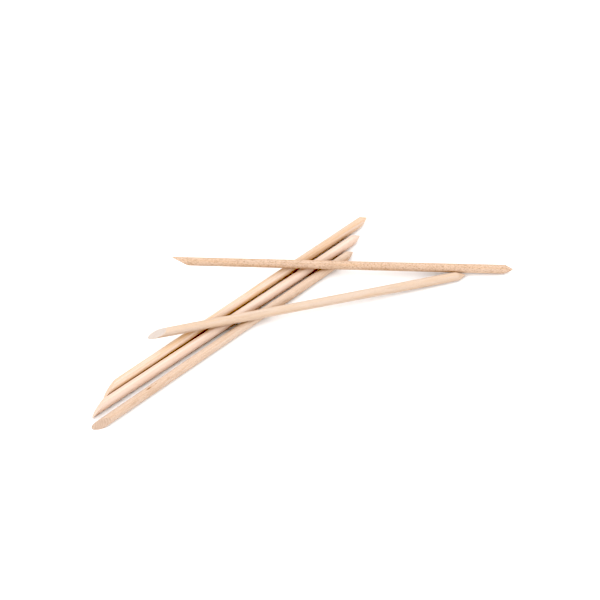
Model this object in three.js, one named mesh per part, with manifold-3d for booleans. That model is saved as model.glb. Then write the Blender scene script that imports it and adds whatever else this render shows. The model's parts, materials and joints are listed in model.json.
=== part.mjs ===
// A loose set of orangewood cuticle pushers: plain round sticks, each turned from one piece of wood.
// Every stick has a hoof at one end, which is one flat slanting cut, and a turned point at the other.
// Three lie side by side on the table, and two lie across them, each with its point end on the table.
// Millimetres and degrees, +X to the right, +Y away from the reader and +Z up.
import * as THREE from "three";
import { mergeVertices } from "three/addons/utils/BufferGeometryUtils.js";
import Module from "manifold-3d";

const wasm = await Module();
wasm.setup();

// Driving dimensions that the sticks share.
const HOOF_ANGLE = THREE.MathUtils.degToRad(26);
const HOOF_EDGE = 0.1; // thickness left at the hoof's leading edge
const TIP_RADIUS = 0.2; // the point is slightly blunt
const POINT_FULLNESS = 1.15; // 1 is a straight cone, and more swells its sides
const REST_GAP = 0.15; // clearance under a stick that lies on another one
const SIDES = 40;
const POINT_STEPS = 5;
const ROUGHNESS = 0.7; // bare sanded wood
const WASTE_SIZE = 30; // a block large enough to take all of the wood below the hoof's flat

// The sticks, nominally 4.8 thick, and where they lie. hoof is the axis at the hoof's leading edge, seen
// from above, and heading is the way to the point, turned from +X towards +Y. roll turns the hoof's
// leading edge about the stick, from straight up, and lean is how far off the axis the point was
// turned, towards that edge. A stick with restsOn lies across the crest of that one, with its point end
// on the table.
const STICKS = [
  {
    name: "front_stick",
    diameter: 4.9,
    length: 170.8,
    point: 5.0,
    lean: 0,
    hoof: [-103.25, -80.24],
    heading: 39.95,
    roll: -130,
    color: 0xebc8ab,
  },
  {
    name: "middle_stick",
    diameter: 5.15,
    length: 176.6,
    point: 5.2,
    lean: 0.1,
    hoof: [-105.64, -71.11],
    heading: 39.08,
    roll: 132,
    color: 0xf7e0c8,
  },
  {
    name: "back_stick",
    diameter: 5.1,
    length: 176.1,
    point: 4.9,
    lean: -0.05,
    hoof: [-100.54, -59.77],
    heading: 39.45,
    roll: 132,
    color: 0xeecba2,
  },
  {
    name: "lower_cross_stick",
    diameter: 4.85,
    length: 170.5,
    point: 5.8,
    lean: 0.45,
    hoof: [-77.89, -28.98],
    heading: 14.95,
    roll: 180,
    color: 0xf4d9bf,
    restsOn: "front_stick",
  },
  {
    name: "upper_cross_stick",
    diameter: 4.65,
    length: 179.5,
    point: 5.6,
    lean: -0.05,
    hoof: [-67.6, 16.89],
    heading: 0.5,
    roll: -47,
    color: 0xedc6a4,
    restsOn: "front_stick",
  },
];

// A solid of the manifold library from a closed three.js geometry, and the way back.
function toSolid(geometry) {
  const bare = geometry.index ? geometry.toNonIndexed() : geometry.clone();
  bare.deleteAttribute("normal");
  bare.deleteAttribute("uv");
  const merged = mergeVertices(bare, 1e-4);
  return new wasm.Manifold(
    new wasm.Mesh({
      numProp: 3,
      vertProperties: merged.attributes.position.array,
      triVerts: new Uint32Array(merged.index.array),
    }),
  );
}

function toGeometry(solid) {
  const mesh = solid.getMesh();
  const geometry = new THREE.BufferGeometry();
  geometry.setAttribute("position", new THREE.BufferAttribute(mesh.vertProperties, 3));
  geometry.setIndex(new THREE.BufferAttribute(mesh.triVerts, 1));
  geometry.computeVertexNormals();
  return geometry;
}

// The round blank along +X: a square end at the origin, then a plain shaft, then the turned point.
function blankGeometry({ length, diameter, point, lean }) {
  const shaftRadius = diameter / 2;
  const profile = [new THREE.Vector2(0, 0), new THREE.Vector2(shaftRadius, 0)];
  const shoulder = length - point;
  for (let step = 0; step <= POINT_STEPS; step++) {
    const along = step / POINT_STEPS;
    const radius = shaftRadius - (shaftRadius - TIP_RADIUS) * along ** POINT_FULLNESS;
    profile.push(new THREE.Vector2(radius, shoulder + point * along));
  }
  profile.push(new THREE.Vector2(0, length));
  const geometry = new THREE.LatheGeometry(profile, SIDES);
  geometry.rotateZ(-Math.PI / 2);

  // The lean slides each ring of the point sideways, in step with its distance from the shoulder.
  const position = geometry.attributes.position;
  for (let i = 0; i < position.count; i++) {
    const past = Math.max(0, position.getX(i) - shoulder);
    position.setZ(i, position.getZ(i) + (lean * past) / point);
  }
  return geometry;
}

// The wedge of waste below the hoof's flat, which runs from its leading edge at the top of the blank
// down to its heel at the bottom.
function hoofWaste({ diameter }) {
  const waste = new THREE.BoxGeometry(WASTE_SIZE, WASTE_SIZE, WASTE_SIZE);
  waste.translate(0, 0, -WASTE_SIZE / 2);
  waste.rotateY(HOOF_ANGLE);
  waste.translate(0, 0, diameter / 2 - HOOF_EDGE);
  return waste;
}

function stickGeometry(stick) {
  const blank = toSolid(blankGeometry(stick));
  return toGeometry(blank.subtract(toSolid(hoofWaste(stick))));
}

// How far along one stick its line crosses another stick's line, seen from above.
function crossingDistance(stick, other) {
  const heading = THREE.MathUtils.degToRad(stick.heading);
  const otherHeading = THREE.MathUtils.degToRad(other.heading);
  const apartX = other.hoof[0] - stick.hoof[0];
  const apartY = other.hoof[1] - stick.hoof[1];
  const across = apartX * Math.sin(otherHeading) - apartY * Math.cos(otherHeading);
  return across / Math.sin(otherHeading - heading);
}

// The height of a stick's axis at its hoof, and its fall towards the point.
function restingPose(stick) {
  const lying = stick.diameter / 2;
  if (!stick.restsOn) return { height: lying, tilt: 0 };
  const support = STICKS.find((other) => other.name === stick.restsOn);
  const shoulder = stick.length - stick.point;
  const rise = support.diameter + REST_GAP;
  const tilt = Math.atan2(rise, shoulder - crossingDistance(stick, support));
  return { height: lying + shoulder * Math.sin(tilt), tilt };
}

function buildStick(stick) {
  const material = new THREE.MeshStandardMaterial({
    color: stick.color,
    roughness: ROUGHNESS,
    metalness: 0,
  });
  const mesh = new THREE.Mesh(stickGeometry(stick), material);
  const { height, tilt } = restingPose(stick);
  mesh.name = stick.name;
  mesh.position.set(stick.hoof[0], stick.hoof[1], height);
  mesh.rotation.set(
    THREE.MathUtils.degToRad(stick.roll),
    tilt,
    THREE.MathUtils.degToRad(stick.heading),
    "ZYX",
  );
  return mesh;
}

const layout = new THREE.Group();
layout.add(...STICKS.map(buildStick));

// The origin is the middle of the set's box, on the table.
layout.updateMatrixWorld(true);
const box = new THREE.Box3().setFromObject(layout, true);
const middle = box.getCenter(new THREE.Vector3());
layout.position.set(-middle.x, -middle.y, -box.min.z);

const cuticleSticks = new THREE.Group();
cuticleSticks.add(layout);

export default cuticleSticks;
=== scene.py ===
"""Five orangewood cuticle sticks, lying loose on a white table: their fine meshes, wood and light."""

import json
import math

import bpy
import numpy as np
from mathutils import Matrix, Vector, noise


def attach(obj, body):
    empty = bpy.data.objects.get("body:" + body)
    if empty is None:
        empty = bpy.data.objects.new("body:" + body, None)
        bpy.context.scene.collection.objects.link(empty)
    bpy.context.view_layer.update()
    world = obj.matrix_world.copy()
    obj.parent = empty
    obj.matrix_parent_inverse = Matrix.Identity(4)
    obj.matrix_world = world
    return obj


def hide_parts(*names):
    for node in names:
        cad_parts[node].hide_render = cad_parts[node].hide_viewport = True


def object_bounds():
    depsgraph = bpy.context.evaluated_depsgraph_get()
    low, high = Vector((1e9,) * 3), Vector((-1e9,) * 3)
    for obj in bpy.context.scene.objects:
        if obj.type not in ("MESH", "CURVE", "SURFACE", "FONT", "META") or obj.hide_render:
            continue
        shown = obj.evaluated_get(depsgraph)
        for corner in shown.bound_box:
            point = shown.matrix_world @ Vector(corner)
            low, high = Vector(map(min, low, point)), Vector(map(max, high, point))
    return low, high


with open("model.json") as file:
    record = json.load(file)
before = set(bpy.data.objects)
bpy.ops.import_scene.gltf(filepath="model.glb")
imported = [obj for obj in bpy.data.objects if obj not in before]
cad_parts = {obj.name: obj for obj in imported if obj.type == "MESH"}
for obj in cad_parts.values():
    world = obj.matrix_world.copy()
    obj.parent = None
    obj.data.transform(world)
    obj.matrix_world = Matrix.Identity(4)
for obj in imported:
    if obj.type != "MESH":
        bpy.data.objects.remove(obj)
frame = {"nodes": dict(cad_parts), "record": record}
cad_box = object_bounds()

MM = 0.001

# ---------------------------------------------------------------- the sticks' own characters

# grain_seed moves a stick to its own place in the wood, pith is the tree's middle across the stick
# in mm, ring_mm the growth rings' spacing, and pale and dark the two kinds of wood in one ring. streak
# is the tint of the warm bands along the stick, fleck how clear its brown flecks are, specks how rough
# it looks, and cut the tint of the hoof's flat and how clear its rings are. bow is how far the middle
# of the stick is bent, in mm, towards the hoof's edge and sideways, and girth how thick the stick is
# at its hoof, middle and point, against the CAD one. The point's steep side is at turn degrees round
# the stick from the hoof's edge, it and the gentle side opposite are so many mm long, and darker is
# how much its cut grain shows. Marks are brown spots: mm from the hoof, degrees round from the hoof's
# edge, mm from the spot's middle to its ends and to its sides, and how dark.
STICKS = {
    "front_stick": dict(
        grain_seed=3.0,
        pith=(6.0, 1.5),
        ring_mm=0.62,
        pale=(0.623, 0.501, 0.416),
        dark=(0.543, 0.394, 0.298),
        streak=(1.0, 0.96, 0.92),
        cut=dict(tint=(0.90, 0.865, 0.85), rings=0.6),
        fleck=0.30,
        specks=0.30,
        bow=(0.05, 0.02),
        girth=(1.0, 0.97, 0.97),
        point=dict(steep=3.7, gentle=5.6, turn=68, darker=0.1),
        marks=(
            dict(at=35.0, turn=127, size=(1.8, 0.45), depth=0.75),
            dict(at=36.3, turn=128, size=(2.8, 0.90), depth=0.14),
            dict(at=39.5, turn=126, size=(0.70, 0.28), depth=0.55),
            dict(at=24.6, turn=173, size=(3.0, 0.80), depth=0.18),
            dict(at=46.6, turn=160, size=(1.2, 0.50), depth=0.20),
            dict(at=18.0, turn=158, size=(40.0, 9.0), depth=0.07),
        ),
    ),
    "middle_stick": dict(
        grain_seed=11.0,
        pith=(14.0, -30.0),
        ring_mm=1.9,
        pale=(0.682, 0.556, 0.483),
        dark=(0.625, 0.474, 0.388),
        streak=(1.0, 0.96, 0.92),
        cut=dict(tint=(1.0, 0.95, 0.90), rings=0.3),
        fleck=0.10,
        specks=0.08,
        bow=(0.12, -0.03),
        girth=(1.03, 1.0, 0.98),
        point=dict(steep=4.7, gentle=6.2, turn=167, darker=0.0),
        marks=(),
    ),
    "back_stick": dict(
        grain_seed=23.0,
        pith=(8.0, -12.0),
        ring_mm=1.1,
        pale=(0.684, 0.558, 0.480),
        dark=(0.609, 0.441, 0.311),
        streak=(1.0, 0.91, 0.78),
        cut=dict(tint=(1.0, 0.92, 0.84), rings=0.4),
        fleck=0.14,
        specks=0.22,
        bow=(-0.06, 0.02),
        girth=(1.02, 0.99, 1.01),
        point=dict(steep=3.9, gentle=6.7, turn=166, darker=0.8),
        marks=(dict(at=152.0, turn=230, size=(26.0, 8.0), depth=0.14),),
    ),
    "lower_cross_stick": dict(
        grain_seed=37.0,
        pith=(-22.0, -9.0),
        ring_mm=1.7,
        pale=(0.596, 0.485, 0.407),
        dark=(0.539, 0.407, 0.315),
        streak=(1.0, 0.95, 0.88),
        cut=dict(tint=(0.91, 0.985, 1.07), rings=0.08),
        fleck=0.12,
        specks=0.12,
        bow=(0.05, 0.04),
        girth=(0.98, 0.99, 1.0),
        point=dict(steep=5.2, gentle=5.4, turn=124, darker=0.0),
        marks=(),
    ),
    "upper_cross_stick": dict(
        grain_seed=51.0,
        pith=(-7.0, 11.0),
        ring_mm=1.45,
        pale=(0.633, 0.487, 0.392),
        dark=(0.551, 0.384, 0.276),
        streak=(1.0, 0.96, 0.90),
        cut=dict(tint=(1.0, 0.98, 0.96), rings=0.5),
        fleck=1.0,
        specks=0.85,
        bow=(-0.04, 0.03),
        girth=(0.96, 0.98, 1.02),
        point=dict(steep=4.5, gentle=5.2, turn=-8, darker=0.1),
        marks=(),
    ),
}

# ---------------------------------------------------------------- what the CAD sticks measure

RING_DEPTH = 0.2 * MM  # points no farther apart along the stick than this are on one ring
TIP_DEPTH = 0.02 * MM


def measured(name):
    """The axis, ends and flat of one CAD stick, read from its mesh and its hoof mount."""
    mount_name = name.replace("_stick", "_hoof_face")
    mount = next(m for m in frame["record"]["mounts"] if m["name"] == mount_name)
    flat_point = np.array(mount["pos_m"])
    flat_normal = np.array(mount["axis"])
    points = np.array([v.co for v in frame["nodes"][name].data.vertices], float)
    points = np.unique(points.round(7), axis=0)

    # Past the hoof, the first points on a stick are the ring round its shoulder.
    rough = points[np.argmax(np.linalg.norm(points - flat_point, axis=1))] - flat_point
    rough /= np.linalg.norm(rough)
    along = (points - flat_point) @ rough
    far_half = along[along > along.max() / 2]
    ring = points[(along >= far_half.min()) & (along < far_half.min() + RING_DEPTH)]
    shoulder_centre = ring.mean(axis=0)

    axis = shoulder_centre - flat_point
    axis /= np.linalg.norm(axis)
    along = (points - flat_point) @ axis
    tip = points[along > along.max() - TIP_DEPTH].mean(axis=0)
    edge = flat_normal - (flat_normal @ axis) * axis
    edge /= -np.linalg.norm(edge)
    return dict(
        origin=flat_point + axis * along.min(),
        axis=axis,
        edge=edge,
        side=np.cross(axis, edge),
        radius=np.linalg.norm(ring - shoulder_centre, axis=1).mean(),
        length=along.max() - along.min(),
        shoulder=(shoulder_centre - flat_point) @ axis - along.min(),
        flat_at=-along.min(),
        flat_slope=math.tan(math.asin(-(flat_normal @ axis))),
        lean=(tip - flat_point) @ edge,
    )


# ---------------------------------------------------------------- one stick's fine mesh

ROUND = 96  # points round a ring
FLAT_RINGS = 16
HOOF_RINGS = 36
SHAFT_RINGS = 120
POINT_RINGS = 44
ROUNDING_STEPS = 5
HOOF_LENGTH = 13 * MM  # from the hoof's end, as far as the rings lie close together
POINT_MARGIN = 0.5 * MM  # the shaft's rings stop this far short of the point
TIP_ROUNDING = 0.12 * MM
TIP_FLAT = 0.25  # of the radius beside it, where the tip's rounding ends
RIM_AT_EDGE = 0.05  # mm taken off the flat's rim at the hoof's leading edge
RIM_TO_HEEL = 0.12  # mm more at its heel
RAGGED_EDGE = 0.03 * MM  # how unevenly the hoof's end is sanded
TIP_RADIUS = 0.2 * MM
POINT_FULLNESS = 1.3  # 1 is a straight cone, and more swells its sides
HOOF_END_RADIUS = 1.0 * MM  # how round the hoof's leading edge is, seen square on to its flat
HOOF_BLUNT = 0.06 * MM
SHOULDER_BLUNT = 0.12 * MM
OVAL = 0.006  # this and the next two are shares of the radius
SANDING = 0.005
FIBRE = 0.0035
SANDING_LENGTH = 9 * MM
FIBRE_LENGTH = 22 * MM
FLAT_SKIN = 0.06 * MM  # how near to the flat a point counts as part of it
POINT_FADE = 1.2 * MM  # over which the point's cut grain comes in


def smooth_max(a, b, blunt):
    """The larger of two numbers, with the change from one to the other rounded off."""
    return (a + b + math.sqrt((a - b) ** 2 + blunt**2)) / 2


def rounded_corner(before, corner, after):
    """Points on a curve that cuts a corner, from one straight run to the next."""
    steps = np.linspace(0, 1, ROUNDING_STEPS)[:, None]
    return (1 - steps) ** 2 * before + 2 * steps * (1 - steps) * corner + steps**2 * after


def girth_at(shape, character, x):
    """The shaft's radius there: a dowel is a little thicker at one end than at the other."""
    places = (0, shape["length"] / 2, shape["length"])
    return shape["radius"] * float(np.interp(x, places, character["girth"]))


def point_length(shape, character):
    lean_share = 1 + abs(shape["lean"]) / shape["radius"]
    return character["point"]["gentle"] * MM * lean_share


def point_middle(shape, character, x):
    """How far off the axis, towards the hoof's edge, the middle of the point is at x."""
    reach = point_length(shape, character)
    return shape["lean"] * float(np.clip(1 - (shape["length"] - x) / reach, 0, 1))


def out_at(shape, character, turn, x):
    """How far the surface is from the stick's middle line: the shaft, cut by the slanting cone."""
    radius = girth_at(shape, character, x)
    middle = point_middle(shape, character, x)
    up, over = math.cos(turn), math.sin(turn)
    shaft = math.sqrt(radius**2 - (middle * over) ** 2) - middle * up

    # The cone is turned a little askew, so its steep side is short and its gentle side is long.
    bevel = character["point"]
    to_tip = max(0.0, shape["length"] - x)
    reach = point_length(shape, character)
    if to_tip > reach:
        return shaft
    steep, gentle = radius / (bevel["steep"] * MM), radius / (bevel["gentle"] * MM)
    skew = (steep - gentle) / 2 * to_tip
    widest = (steep + gentle) / 2 * reach
    cone = TIP_RADIUS + (widest - TIP_RADIUS) * (1 - (1 - to_tip / reach) ** POINT_FULLNESS)
    off_up = middle - shape["lean"] - skew * math.cos(math.radians(bevel["turn"]))
    off_over = -skew * math.sin(math.radians(bevel["turn"]))
    toward = off_up * up + off_over * over
    point = math.sqrt(max(0.0, cone**2 - off_up**2 - off_over**2 + toward**2)) - toward
    return -smooth_max(-shaft, -point, SHOULDER_BLUNT * (1 - (1 - to_tip / reach) ** 4))


def meridian(shape, character, turn):
    """One outline of the stick in the plane at that turn: pairs of distance along and out."""
    radius = girth_at(shape, character, 0.0)
    toward_edge, sideways = math.cos(turn), math.sin(turn)
    ragged_place = Vector((3 * sideways, 3 * toward_edge, character["grain_seed"]))
    ragged = RAGGED_EDGE * noise.noise(ragged_place)

    def flat_x(out):
        """Where the hoof's flat is, or its leading edge, which is round and a little blunt."""
        flat = shape["flat_at"] - out * toward_edge / shape["flat_slope"]
        leading = (out * sideways) ** 2 / (2 * HOOF_END_RADIUS)
        return ragged + smooth_max(flat, leading, HOOF_BLUNT)

    corner = np.array((flat_x(radius), radius))
    cut = (RIM_AT_EDGE + RIM_TO_HEEL * (1 - toward_edge) / 2) * MM
    inner = np.array((flat_x(radius - cut), radius - cut))
    outer = corner + np.array((2 * cut, 0))
    flat = [(flat_x(out), out) for out in np.linspace(0, radius - cut, FLAT_RINGS)[1:-1]]

    point_start = shape["length"] - point_length(shape, character) - POINT_MARGIN
    near = outer[0] + (HOOF_LENGTH - outer[0]) * np.linspace(0, 1, HOOF_RINGS)[1:]
    shaft = np.linspace(HOOF_LENGTH, point_start, SHAFT_RINGS)[1:]
    point = np.linspace(point_start, shape["length"] - TIP_ROUNDING, POINT_RINGS)[1:]
    side = [(x, out_at(shape, character, turn, x)) for x in (*near, *shaft, *point)]
    tip = rounded_corner(
        np.array(side[-1]),
        np.array((shape["length"], side[-1][1])),
        np.array((shape["length"], TIP_FLAT * side[-1][1])),
    )[1:]
    return np.array([*flat, *rounded_corner(inner, corner, outer), *side, *tip])


def stick_points(shape, character):
    """Every ring point in the stick's own frame, with the small faults of sanded wood."""
    turns = np.arange(ROUND) * 2 * math.pi / ROUND
    seed = character["grain_seed"]
    outlines = np.array([meridian(shape, character, turn) for turn in turns])
    rings = outlines.transpose(1, 0, 2)
    points = np.empty((rings.shape[0], ROUND, 3))
    for i, ring in enumerate(rings):
        for j, (x, out) in enumerate(ring):
            share = out / shape["radius"]
            up, over = math.cos(turns[j]), math.sin(turns[j])
            # a dowel is a little oval, and sanding leaves it uneven along its length
            oval = OVAL * math.cos(2 * turns[j] + seed)
            sanding = noise.noise(Vector((x / SANDING_LENGTH, 1.3 * up + seed, 1.3 * over)))
            fibre = noise.noise(Vector((x / FIBRE_LENGTH, 9 * up, 9 * over + seed)))
            uneven = oval + SANDING * sanding + FIBRE * fibre
            spread = out * (1 + uneven * share)
            middle = point_middle(shape, character, x)
            points[i, j] = (x, spread * up + middle, spread * over)
    return points


def bowed(points, shape, bow):
    """The same points on a stick that is slightly bent, as a drying dowel is."""
    arch = np.sin(np.pi * np.clip(points[..., 0] / shape["length"], 0, 1)) * MM
    return points + np.stack((np.zeros_like(arch), arch * bow[0], arch * bow[1]), axis=-1)


def ring_faces(ring_count):
    """Quads between the rings, and a fan of triangles at either end."""
    faces = []
    for i in range(ring_count - 1):
        for j in range(ROUND):
            k = (j + 1) % ROUND
            faces.append((i * ROUND + j, i * ROUND + k, (i + 1) * ROUND + k, (i + 1) * ROUND + j))
    flat_middle = ring_count * ROUND
    tip_middle = flat_middle + 1
    last = (ring_count - 1) * ROUND
    for j in range(ROUND):
        k = (j + 1) % ROUND
        faces.append((flat_middle, k, j))
        faces.append((tip_middle, last + j, last + k))
    return faces


def build_stick(name, character):
    shape = measured(name)
    rings = stick_points(shape, character)
    local = rings.reshape(-1, 3)
    middles = np.array([rings[0].mean(axis=0), rings[-1].mean(axis=0)])
    local = np.vstack((local, middles))
    bent = bowed(local, shape, character["bow"])
    basis = np.array((shape["axis"], shape["edge"], shape["side"]))
    world = shape["origin"] + bent @ basis
    world[:, 2] += max(0.0, cad_box[0][2] - world[:, 2].min())  # it lies on the table, not in it

    mesh = bpy.data.meshes.new(name + "_wood")
    mesh.from_pydata(world.tolist(), [], ring_faces(len(rings)))
    mesh.shade_smooth()
    in_stick = mesh.attributes.new("in_stick", "FLOAT_VECTOR", "POINT")
    in_stick.data.foreach_set("vector", (local / MM).ravel())
    cut = mesh.attributes.new("cut_end", "FLOAT", "POINT")
    cut.data.foreach_set("value", end_grain(local, shape, character))
    piece = bpy.data.objects.new(name + "_wood", mesh)
    bpy.context.scene.collection.objects.link(piece)
    piece.data.materials.append(wood(name, character))
    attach(piece, name)
    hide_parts(name)


def end_grain(local, shape, character):
    """1 on the hoof's flat, less on the point, where the grain is cut across, and 0 on the shaft."""
    x, edge_way = local.T[:2]
    flat_x = shape["flat_at"] - edge_way / shape["flat_slope"]
    off_flat = np.abs(x - np.maximum(flat_x, 0)) * math.sin(math.atan(shape["flat_slope"]))
    on_flat = np.clip(1 - off_flat / FLAT_SKIN, 0, 1)
    on_point = np.clip((x - shape["shoulder"]) / POINT_FADE, 0, 1) * character["point"]["darker"]
    return np.maximum(on_flat, on_point)


# ---------------------------------------------------------------- wood


class Nodes:
    """Short calls for building a material's node tree."""

    def __init__(self, tree):
        self.tree = tree
        tree.nodes.clear()

    def add(self, kind, settings=None, **inputs):
        node = self.tree.nodes.new("ShaderNode" + kind)
        for key, value in (settings or {}).items():
            setattr(node, key, value)
        for key, value in inputs.items():
            self.feed(node, key, value)
        return node

    def feed(self, node, key, value):
        socket = node.inputs[int(key[1:])] if key[0] == "i" and key[1:].isdigit() else node.inputs[key]
        if isinstance(value, bpy.types.NodeSocket):
            self.tree.links.new(value, socket)
        else:
            socket.default_value = value

    def math(self, operation, a, b=0.0):
        return self.add("Math", dict(operation=operation), i0=a, i1=b).outputs[0]

    def vector(self, operation, a, b):
        return self.add("VectorMath", dict(operation=operation), i0=a, i1=b)

    def length(self, a):
        return self.vector("LENGTH", a, (0.0, 0.0, 0.0)).outputs["Value"]

    def squeezed(self, place, along, across):
        """The place, scaled along the stick and across it, so that a pattern's cells are long and thin."""
        return self.vector("MULTIPLY", place, (along, across, across)).outputs[0]

    def ranged(self, value, low, high, to_low=0.0, to_high=1.0):
        node = self.add("MapRange", dict(interpolation_type="SMOOTHSTEP"))
        for key, number in zip(range(5), (value, low, high, to_low, to_high)):
            self.feed(node, f"i{key}", number)
        return node.outputs[0]

    def noise(self, place, scale, detail, roughness=0.55):
        node = self.add("TexNoise", Vector=place, Scale=scale, Detail=detail, Roughness=roughness)
        return node.outputs[0]

    def mix(self, share, a, b, blend="MIX"):
        node = self.add("Mix", dict(data_type="RGBA", blend_type=blend))
        for key, value in ((0, share), (6, a), (7, b)):
            self.feed(node, f"i{key}", value)
        return node.outputs[2]


GRAIN_STEP = 7  # mm along the tree for each unit of grain_seed
RING_ALONG = 0.016  # how much distance along the stick counts in a ring, against distance across it
MARK_RADIUS = 2.4  # mm from the axis, which is near every stick's surface
BROWN = (0.36, 0.20, 0.105, 1.0)
MARK_BROWN = (0.25, 0.115, 0.045, 1.0)


def rgb(colour):
    return (*colour, 1.0)


def scaled(colour, factor):
    return rgb([channel * factor for channel in colour])


def late_wood(n, place, character):
    """The dark part of each growth ring: shells round the pith, which wander slowly along the stick."""
    flatten = n.squeezed(place, RING_ALONG, 1.0)
    wander = n.noise(n.squeezed(place, 0.03, 0.25), 1.0, 2.0)
    pith = (GRAIN_STEP * character["grain_seed"] * RING_ALONG, *character["pith"])
    distance = n.length(n.vector("SUBTRACT", flatten, pith).outputs[0])
    distance = n.math("ADD", distance, n.math("MULTIPLY", wander, 1.6))
    ring = n.math("FRACT", n.math("DIVIDE", distance, character["ring_mm"]))
    return n.math("MULTIPLY", n.ranged(ring, 0.35, 0.93), n.ranged(ring, 1.0, 0.95))


def vessels(n, place):
    """Short dark dashes along the grain, or dots where it is cut across."""
    cells = n.add("TexVoronoi", Vector=n.squeezed(place, 0.75, 6.5), Scale=1.0, Randomness=1.0)
    depth = n.ranged(cells.outputs["Distance"], 0.30, 0.12)
    patchy = n.ranged(n.noise(place, 0.45, 2.0), 0.42, 0.62)
    return n.math("MULTIPLY", depth, n.math("ADD", n.math("MULTIPLY", patchy, 0.7), 0.3))


def flecks(n, place):
    """Rays of the tree seen end on, as small brown spindles."""
    cells = n.add("TexVoronoi", Vector=n.squeezed(place, 0.85, 2.1), Scale=1.0, Randomness=1.0)
    chosen = n.ranged(n.add("SeparateColor", Color=cells.outputs["Color"]).outputs[0], 0.35, 0.65)
    return n.math("MULTIPLY", n.ranged(cells.outputs["Distance"], 0.52, 0.12), chosen)


def marked(n, place, colour, character):
    """The colour with the stick's own brown marks on it."""
    start = GRAIN_STEP * character["grain_seed"]
    for mark in character["marks"]:
        turn = math.radians(mark["turn"])
        spot = (mark["at"] + start, MARK_RADIUS * math.cos(turn), MARK_RADIUS * math.sin(turn))
        offset = n.vector("SUBTRACT", place, spot).outputs[0]
        long, wide = mark["size"]
        reach = n.length(n.vector("DIVIDE", offset, (long, wide, wide)).outputs[0])
        inside = n.math("MULTIPLY", n.ranged(reach, 1.3, 0.2), mark["depth"])
        colour = n.mix(inside, colour, MARK_BROWN)
    return colour


def cut_grain(n, late, character):
    """The wood where the grain is cut across, and its rings stand out."""
    end_rings = n.math("MULTIPLY", late, character["cut"]["rings"])
    colour = n.mix(end_rings, rgb(character["pale"]), scaled(character["dark"], 0.9))
    return n.mix(1.0, colour, rgb(character["cut"]["tint"]), "MULTIPLY")


def wood(name, character):
    """Bare sanded orangewood: rings, fibres, vessels and flecks, all in the stick's own space."""
    material = bpy.data.materials.new(name + "_orangewood")
    material.use_nodes = True
    n = Nodes(material.node_tree)
    pale, dark = character["pale"], character["dark"]
    place = n.add("Attribute", dict(attribute_name="in_stick")).outputs["Vector"]
    place = n.vector("ADD", place, (GRAIN_STEP * character["grain_seed"], 0.0, 0.0)).outputs[0]
    cut = n.add("Attribute", dict(attribute_name="cut_end")).outputs["Fac"]
    late = late_wood(n, place, character)

    # fibres run the length of the stick, and broad bands are where the dowel crosses other wood
    fine = n.noise(n.squeezed(place, 0.10, 4.2), 1.6, 4.0, 0.65)
    broad = n.noise(n.squeezed(place, 0.03, 0.50), 1.0, 2.0)
    fibre = n.ranged(fine, 0.30, 0.72)
    vessel_depth = vessels(n, place)
    fleck_depth = flecks(n, place)

    colour = n.mix(n.math("MULTIPLY", late, 0.55), rgb(pale), rgb(dark))
    colour = n.mix(n.math("MULTIPLY", fibre, 0.30), colour, scaled(dark, 0.97))
    warm = n.ranged(broad, 0.40, 0.68)
    colour = n.mix(warm, colour, n.mix(1.0, colour, rgb(character["streak"]), "MULTIPLY"))
    colour = n.mix(n.math("MULTIPLY", vessel_depth, 0.16), colour, BROWN)
    colour = n.mix(n.math("MULTIPLY", fleck_depth, character["fleck"] * 0.55), colour, BROWN)
    colour = marked(n, place, colour, character)
    colour = n.mix(cut, colour, cut_grain(n, late, character))

    # an uneven surface catches the light in fine specks
    specks = n.noise(n.squeezed(place, 0.9, 2.0), 1.1, 3.0, 0.75)
    speck_depth = n.math("MULTIPLY", n.ranged(specks, 0.47, 0.66), character["specks"])
    colour = n.mix(speck_depth, colour, scaled(dark, 0.62))

    roughness = n.ranged(fine, 0.2, 0.8, 0.58, 0.74)
    height = n.math("ADD", n.math("MULTIPLY", fine, 0.8), n.math("MULTIPLY", vessel_depth, -0.5))
    height = n.math("ADD", height, n.math("MULTIPLY", fleck_depth, -0.15))
    bump = n.add("Bump", Strength=0.35, Distance=0.05 * MM, Height=height)
    shader = n.add("BsdfPrincipled", Roughness=roughness, Normal=bump.outputs[0])
    n.feed(shader, "Base Color", colour)
    n.feed(shader, "Specular IOR Level", 0.28)
    output = n.add("OutputMaterial")
    n.feed(output, "Surface", shader.outputs[0])
    return material


# ---------------------------------------------------------------- table, light and camera

TENT_STRENGTH = 2.0
TENT_FOOT = 0.2  # how bright the tent is at the table, against its roof
TENT_FADE_HEIGHT = 0.5  # the sine of the elevation where the roof begins
TENT_FRONT = 0.2  # how much brighter it is in front, and how much darker behind
LENS_UP = math.radians(55)  # how far above the table the camera looks down from
TENT_DARK_WAY = (0.15, -0.55, 0.82)  # the tent is open round the lens, and a little to its right
TENT_OPENING = math.radians(15)  # from the middle of the opening to its rim
TENT_OPENING_FADE = 1.5  # the opening has faded out this many times as far from its middle
TENT_OPENING_LIGHT = 0.03
LENS_DISTANCE = 1.1  # this and the next three are in metres
VIEW_WIDTH = 0.31315  # across the picture, at the point that the lens aims at
AIM_FROM_CENTRE = Vector((-0.00369, 0.01373, 0.0))
TABLE_HALF = 6.0
BLACK_LEVEL = 0.15  # light this weak counts as black, which deepens the shadows and leaves white alone


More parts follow.
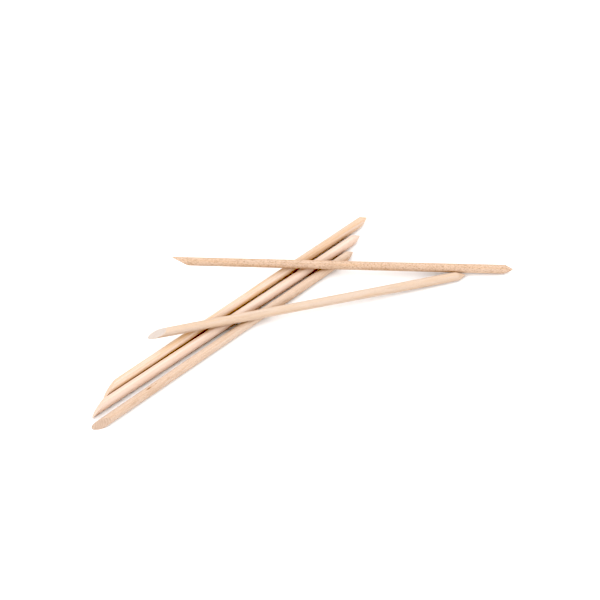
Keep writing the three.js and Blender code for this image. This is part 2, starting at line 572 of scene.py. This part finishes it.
def add_table():
    """A white table top, far larger than any view of it."""
    mesh = bpy.data.meshes.new("table_top")
    corners = [(TABLE_HALF * x, TABLE_HALF * y, 0) for x, y in ((-1, -1), (1, -1), (1, 1), (-1, 1))]
    mesh.from_pydata(corners, [], [(0, 1, 2, 3)])
    table = bpy.data.objects.new("table_top", mesh)
    bpy.context.scene.collection.objects.link(table)
    material = bpy.data.materials.new("white_table")
    material.use_nodes = True
    n = Nodes(material.node_tree)
    grain = n.noise(n.add("TexCoord").outputs["Object"], 900.0, 3.0)
    shade = n.mix(grain, (0.90, 0.90, 0.905, 1.0), (0.92, 0.92, 0.925, 1.0))
    shader = n.add("BsdfPrincipled", Roughness=0.6)
    n.feed(shader, "Base Color", shade)
    n.feed(shader, "Specular IOR Level", 0.15)
    n.feed(n.add("OutputMaterial"), "Surface", shader.outputs[0])
    mesh.materials.append(material)


def add_sky():
    """Soft light from all round: a white tent, which fades towards the table, open for the lens."""
    world = bpy.data.worlds.new("studio")
    world.use_nodes = True
    n = Nodes(world.node_tree)
    direction = n.add("TexCoord").outputs["Generated"]
    ways = n.add("SeparateXYZ", Vector=direction).outputs
    strength = n.ranged(ways["Z"], 0.0, TENT_FADE_HEIGHT, TENT_STRENGTH * TENT_FOOT, TENT_STRENGTH)
    fuller = n.math("MULTIPLY", ways["Y"], -TENT_FRONT)
    strength = n.math("MULTIPLY", strength, n.math("ADD", fuller, 1.0))
    toward_lens = n.vector("DOT_PRODUCT", direction, TENT_DARK_WAY)
    rim = (math.cos(TENT_OPENING * TENT_OPENING_FADE), math.cos(TENT_OPENING))
    closed = n.ranged(toward_lens.outputs["Value"], *rim, 1.0, TENT_OPENING_LIGHT)
    strength = n.math("MULTIPLY", strength, closed)
    background = n.add("Background", Color=(1.0, 1.0, 1.0, 1.0), Strength=strength)
    n.feed(n.add("OutputWorld"), "Surface", background.outputs[0])
    bpy.context.scene.world = world


def add_camera(centre):
    """A long lens that looks down at the set from its near side."""
    aim = centre + AIM_FROM_CENTRE
    camera = bpy.data.cameras.new("camera")
    camera.sensor_width = 36.0
    camera.lens = camera.sensor_width * LENS_DISTANCE / VIEW_WIDTH
    camera.clip_start = 0.05
    camera.clip_end = 30.0
    holder = bpy.data.objects.new("camera", camera)
    back = Vector((0.0, -math.cos(LENS_UP), math.sin(LENS_UP)))
    holder.location = aim + back * LENS_DISTANCE
    holder.rotation_euler = (math.pi / 2 - LENS_UP, 0.0, 0.0)
    bpy.context.scene.collection.objects.link(holder)
    bpy.context.scene.camera = holder


low, high = (Vector(corner) for corner in cad_box)
table_centre = Vector(((low.x + high.x) / 2, (low.y + high.y) / 2, low.z))
add_camera(table_centre)
add_sky()
add_table()
for stick_name, stick_character in STICKS.items():
    build_stick(stick_name, stick_character)

view = bpy.context.scene.view_settings
view.view_transform = "Standard"
view.use_curve_mapping = True
view.curve_mapping.black_level = (BLACK_LEVEL,) * 3
view.curve_mapping.update()
